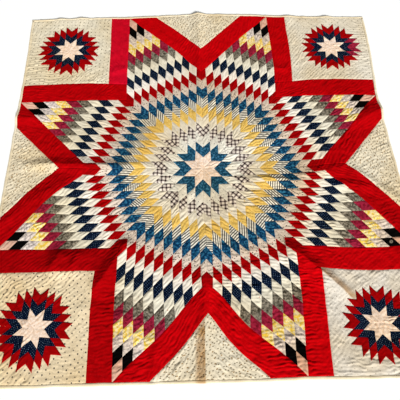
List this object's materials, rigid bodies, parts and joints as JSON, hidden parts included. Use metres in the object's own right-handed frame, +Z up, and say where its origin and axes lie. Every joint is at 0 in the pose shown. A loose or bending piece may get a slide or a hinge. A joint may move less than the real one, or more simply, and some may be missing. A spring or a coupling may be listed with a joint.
{
  "type": "star quilt blanket",
  "caption": "Pieced lone star quilt lying open, with puffed diamond patches, red bands, soft storage creases and a wrapped cloth binding.",
  "frame": {"origin": "on the surface that the quilt lies on, under the middle of its outline", "axes": "+X to the quilt's right and +Y to its head, as the star is seen from above; +Z up, through the cloth"},
  "size_m": [2.0274, 2.061, 0.0253],
  "materials": {
    "quilted_cotton": "matte printed and plain cotton patchwork, hand quilted",
    "binding_cotton": "matte cream cotton with a small print"
  },
  "bodies": {
    "root": {"quilt_layers": "quilted_cotton", "binding_head": "binding_cotton", "binding_left": "binding_cotton", "binding_foot": "binding_cotton", "binding_right": "binding_cotton"}
  },
  "joints": []
}
